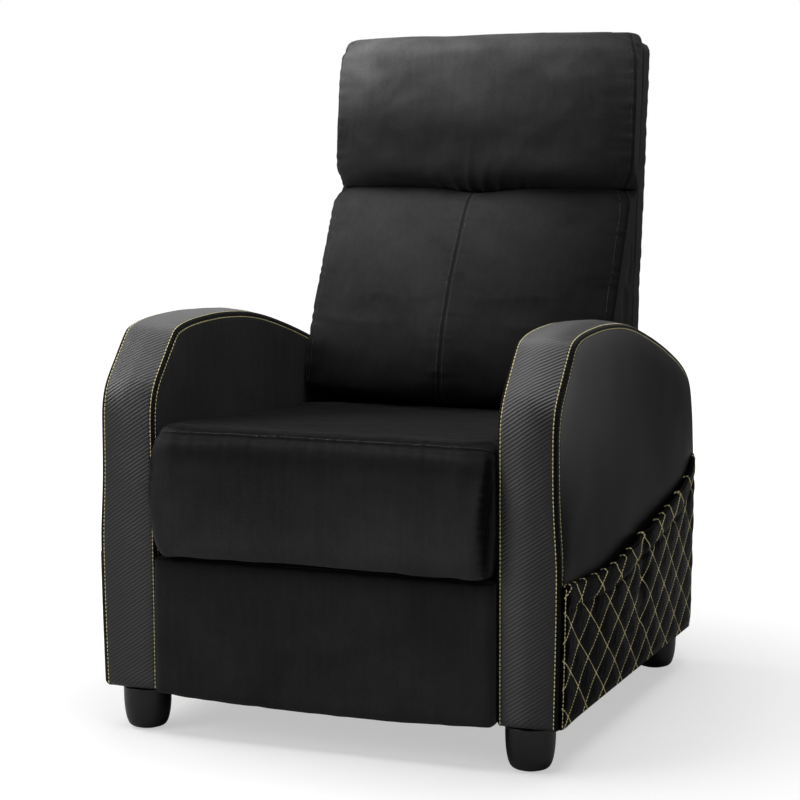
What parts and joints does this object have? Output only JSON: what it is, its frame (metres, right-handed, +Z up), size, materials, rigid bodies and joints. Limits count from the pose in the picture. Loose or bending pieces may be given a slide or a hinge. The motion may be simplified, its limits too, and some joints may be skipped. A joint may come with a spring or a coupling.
{
  "type": "reclining armchair",
  "caption": "Push-back reclining armchair with rounded padded arms, a lumbar and a head cushion, a linked fold-out footrest, quilted side pockets and tapered feet.",
  "frame": {"origin": "on the floor, at the centre of the chair's bounding box in plan", "axes": "+Z up, -Y the way the sitter faces, +X to the sitter's left"},
  "size_m": [0.7488, 0.8079, 1.05],
  "materials": {
    "velvet": "matte charcoal-black velvet with a faint nap",
    "ribbed_cover": "synthetic leather with fine diagonal ribs, semi-gloss",
    "smooth_cover": "smooth synthetic leather, semi-gloss",
    "quilted_cover": "glossy synthetic leather quilted with gold thread",
    "black_plastic": "satin black",
    "plywood": "bare plywood and softwood, not seen",
    "black_steel": "black painted steel plate",
    "spring_steel": "bare spring wire",
    "webbing": "woven elastic webbing"
  },
  "bodies": {
    "base": {"arm_band_left": "ribbed_cover", "arm_inner_board_left": "plywood", "arm_outer_board_left": "plywood", "arm_inner_pad_left": "velvet", "arm_outer_pad_left": "smooth_cover", "arm_front_post_left": "plywood", "arm_rear_post_left": "plywood", "arm_pocket_left": "quilted_cover", "arm_band_right": "ribbed_cover", "arm_inner_board_right": "plywood", "arm_outer_board_right": "plywood", "arm_inner_pad_right": "velvet", "arm_outer_pad_right": "smooth_cover", "arm_front_post_right": "plywood", "arm_rear_post_right": "plywood", "arm_pocket_right": "quilted_cover", "foot_front_left": "black_plastic", "foot_front_right": "black_plastic", "foot_rear_left": "black_plastic", "foot_rear_right": "black_plastic", "base_rail_left": "black_steel", "base_rail_right": "black_steel", "base_cross_tube": "black_steel", "rear_panel": "velvet"},
    "swing_front_left": {"swing_link_front_left": "black_steel"},
    "swing_front_right": {"swing_link_front_right": "black_steel"},
    "swing_rear_left": {"swing_link_rear_left": "black_steel"},
    "swing_rear_right": {"swing_link_rear_right": "black_steel"},
    "seat": {"seat_cushion": "velvet", "seat_front_rail": "plywood", "seat_rear_rail": "plywood", "seat_side_rail_left": "plywood", "seat_side_rail_right": "plywood", "seat_plate_left": "black_steel", "seat_plate_right": "black_steel", "seat_spring_1": "spring_steel", "seat_spring_2": "spring_steel", "seat_spring_3": "spring_steel"},
    "back": {"back_cover": "velvet", "back_top_rail": "plywood", "back_bottom_rail": "plywood", "back_strap_1": "webbing", "back_strap_2": "webbing", "back_post_left": "plywood", "back_post_right": "plywood", "back_bracket_left": "black_steel", "back_bracket_right": "black_steel", "lumbar_cushion": "velvet", "head_cushion": "velvet"},
    "crank": {"footrest_crank": "black_steel"},
    "coupler_left": {"footrest_coupler_left": "black_steel"},
    "idler_left": {"footrest_idler_left": "black_steel"},
    "push_link_left": {"footrest_push_link_left": "black_steel"},
    "coupler_right": {"footrest_coupler_right": "black_steel"},
    "idler_right": {"footrest_idler_right": "black_steel"},
    "push_link_right": {"footrest_push_link_right": "black_steel"},
    "footrest": {"footrest_board": "plywood", "footrest_bracket_left": "black_steel", "footrest_bracket_right": "black_steel", "footrest_pad": "velvet"}
  },
  "joints": [
    {"name": "recline", "type": "hinge", "parent": "base", "child": "swing_front_left", "pos_m": [0, -0.1346, 0.17], "axis": [1, 0, 0], "range_deg": [0, 55]},
    {"name": "seat_on_swing", "type": "hinge", "parent": "swing_front_left", "child": "seat", "pos_m": [0, -0.06003, 0.27649], "axis": [-1, 0, 0], "range_deg": [0, 55]},
    {"name": "back_recline", "type": "hinge", "parent": "seat", "child": "back", "pos_m": [0, 0.235, 0.34], "axis": [-1, 0, 0], "range_deg": [0, 50.1]},
    {"name": "swing_front_right_pivot", "type": "hinge", "parent": "base", "child": "swing_front_right", "pos_m": [0, -0.1346, 0.17], "axis": [1, 0, 0], "range_deg": [0, 55]},
    {"name": "swing_rear_left_pivot", "type": "hinge", "parent": "base", "child": "swing_rear_left", "pos_m": [0, 0.0754, 0.17], "axis": [1, 0, 0], "range_deg": [0, 55]},
    {"name": "swing_rear_right_pivot", "type": "hinge", "parent": "base", "child": "swing_rear_right", "pos_m": [0, 0.0754, 0.17], "axis": [1, 0, 0], "range_deg": [0, 55]},
    {"name": "footrest_lift", "type": "hinge", "parent": "seat", "child": "crank", "pos_m": [0, -0.1545, 0.271], "axis": [-1, 0, 0], "range_deg": [0, 108.9]},
    {"name": "coupler_left_pivot", "type": "hinge", "parent": "crank", "child": "coupler_left", "pos_m": [0, -0.0475, 0.14], "axis": [1, 0, 0], "range_deg": [0, 103.8]},
    {"name": "idler_left_pivot", "type": "hinge", "parent": "seat", "child": "idler_left", "pos_m": [0, -0.201, 0.285], "axis": [-1, 0, 0], "range_deg": [0, 106.4]},
    {"name": "push_link_left_pivot", "type": "hinge", "parent": "idler_left", "child": "push_link_left", "pos_m": [0, -0.0905, 0.1], "axis": [1, 0, 0], "range_deg": [0, 97.2]},
    {"name": "coupler_right_pivot", "type": "hinge", "parent": "crank", "child": "coupler_right", "pos_m": [0, -0.0475, 0.14], "axis": [1, 0, 0], "range_deg": [0, 103.8]},
    {"name": "idler_right_pivot", "type": "hinge", "parent": "seat", "child": "idler_right", "pos_m": [0, -0.201, 0.285], "axis": [-1, 0, 0], "range_deg": [0, 106.4]},
    {"name": "push_link_right_pivot", "type": "hinge", "parent": "idler_right", "child": "push_link_right", "pos_m": [0, -0.0905, 0.1], "axis": [1, 0, 0], "range_deg": [0, 97.2]},
    {"name": "footrest_on_coupler", "type": "hinge", "parent": "coupler_left", "child": "footrest", "pos_m": [0, -0.31, 0.251], "axis": [-1, 0, 0], "range_deg": [0, 80.9]}
  ],
  "couplings": [
    {"joint": "seat_on_swing", "follows": "recline", "ratio": 1},
    {"joint": "back_recline", "follows": "recline", "ratio": 0.90909},
    {"joint": "swing_front_right_pivot", "follows": "recline", "ratio": 1},
    {"joint": "swing_rear_left_pivot", "follows": "recline", "ratio": 1},
    {"joint": "swing_rear_right_pivot", "follows": "recline", "ratio": 1},
    {"joint": "coupler_left_pivot", "follows": "footrest_lift", "ratio": 0.95225},
    {"joint": "idler_left_pivot", "follows": "footrest_lift", "ratio": 0.97612},
    {"joint": "push_link_left_pivot", "follows": "footrest_lift", "ratio": 0.89164},
    {"joint": "coupler_right_pivot", "follows": "footrest_lift", "ratio": 0.95225},
    {"joint": "idler_right_pivot", "follows": "footrest_lift", "ratio": 0.97612},
    {"joint": "push_link_right_pivot", "follows": "footrest_lift", "ratio": 0.89164},
    {"joint": "footrest_on_coupler", "follows": "footrest_lift", "ratio": 0.74197}
  ]
}
